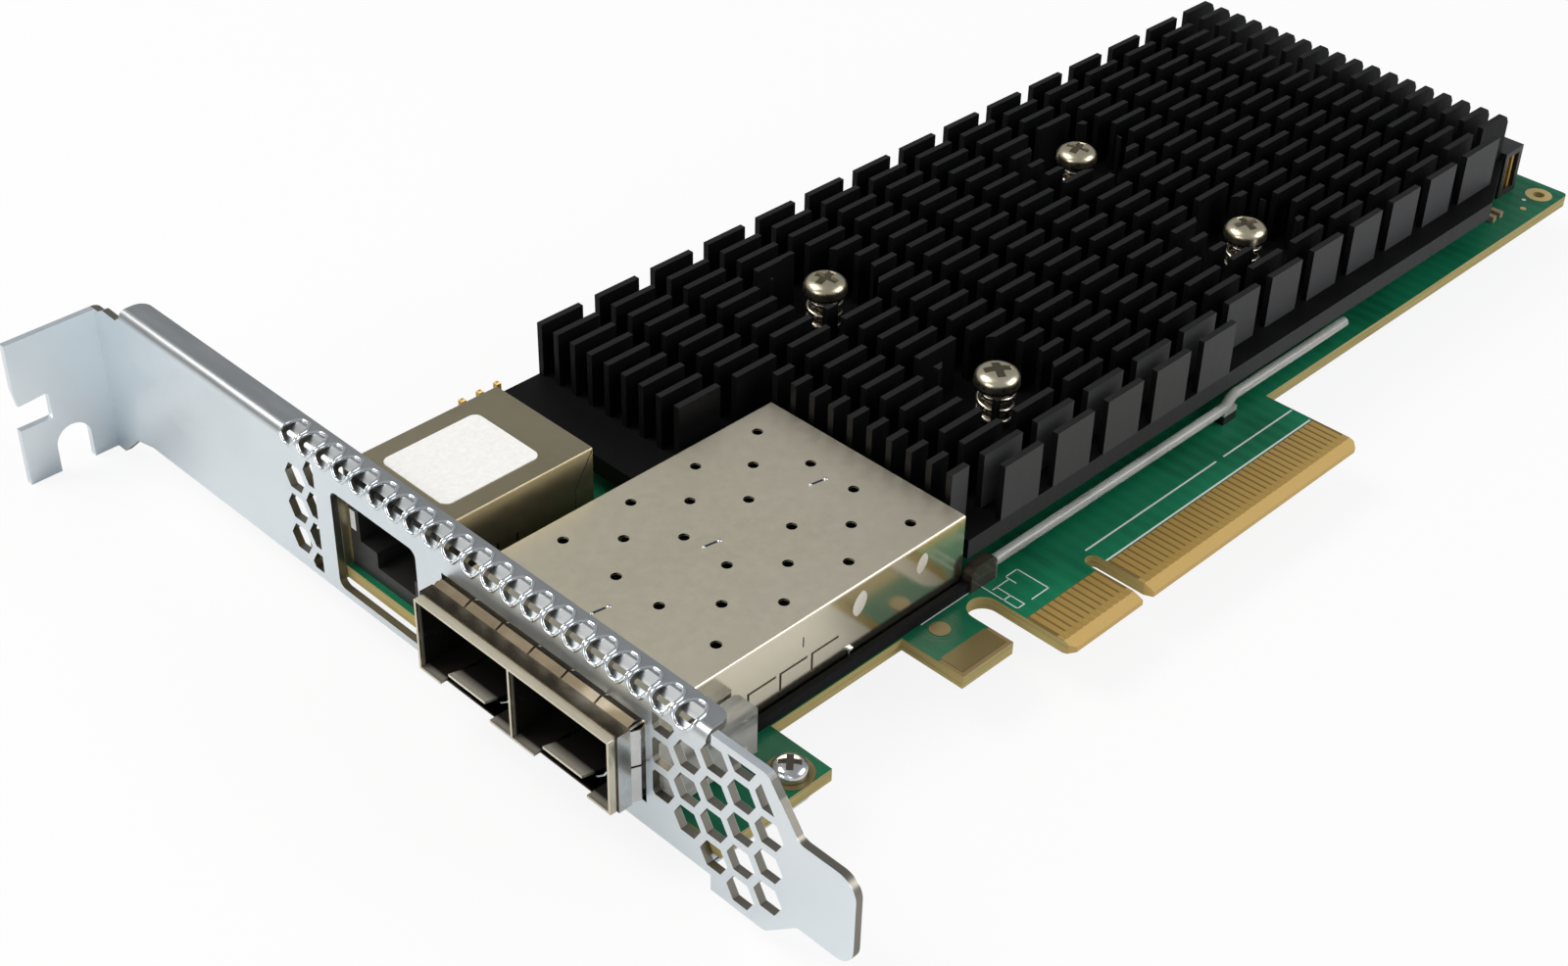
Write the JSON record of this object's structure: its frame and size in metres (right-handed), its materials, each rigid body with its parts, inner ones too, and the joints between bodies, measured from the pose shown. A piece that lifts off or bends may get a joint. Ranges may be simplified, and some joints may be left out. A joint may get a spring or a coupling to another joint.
{
  "type": "network interface card",
  "caption": "Half-length network card with a full-height steel bracket, two pluggable-module ports, an eight-pin jack and a finned black heat sink.",
  "frame": {"origin": "key notch's centre line, at the end of the edge contacts, in the middle of the board's thickness", "axes": "+X runs along the card away from the bracket, +Y from the edge contacts towards the bracket's screw tab, +Z out of the board on its component side"},
  "size_m": [0.181, 0.12, 0.0215],
  "materials": {
    "board": "glossy green solder mask",
    "gold": "gold plated",
    "pad_metal": "gold flash and bare copper",
    "bracket_steel": "bright zinc plate",
    "screw_steel": "nickel plated",
    "nickel_sheet": "satin nickel plate",
    "spring_steel": "bright",
    "black_plastic": "matt",
    "clear_plastic": "clear moulded plastic",
    "label_film": "matt white film",
    "black_anodised": "black anodised",
    "chip_body": "matt",
    "thermal_pad": "soft",
    "ceramic_part": "matt"
  },
  "bodies": {
    "root": {"circuit_board": "board", "edge_contacts": "gold", "board_pads": "pad_metal", "mounting_bracket": "bracket_steel", "bracket_screws": "screw_steel", "cage_shell": "nickel_sheet", "cage_divider": "nickel_sheet", "cage_floor": "nickel_sheet", "cage_spring_collar": "spring_steel", "port_connectors": "black_plastic", "port_contacts": "gold", "jack_shield": "nickel_sheet", "jack_housing": "black_plastic", "jack_contacts": "gold", "jack_windows": "clear_plastic", "jack_label": "label_film", "light_pipe": "clear_plastic", "light_pipe_sleeve": "black_plastic", "heat_sink": "black_anodised", "heat_sink_screws": "screw_steel", "heat_sink_springs": "spring_steel", "heat_sink_spacers": "screw_steel", "processor": "chip_body", "thermal_pad": "thermal_pad", "rear_connector": "black_plastic", "rear_connector_pins": "gold", "pin_header": "black_plastic", "pin_header_pins": "gold", "capacitors": "ceramic_part"}
  },
  "joints": []
}
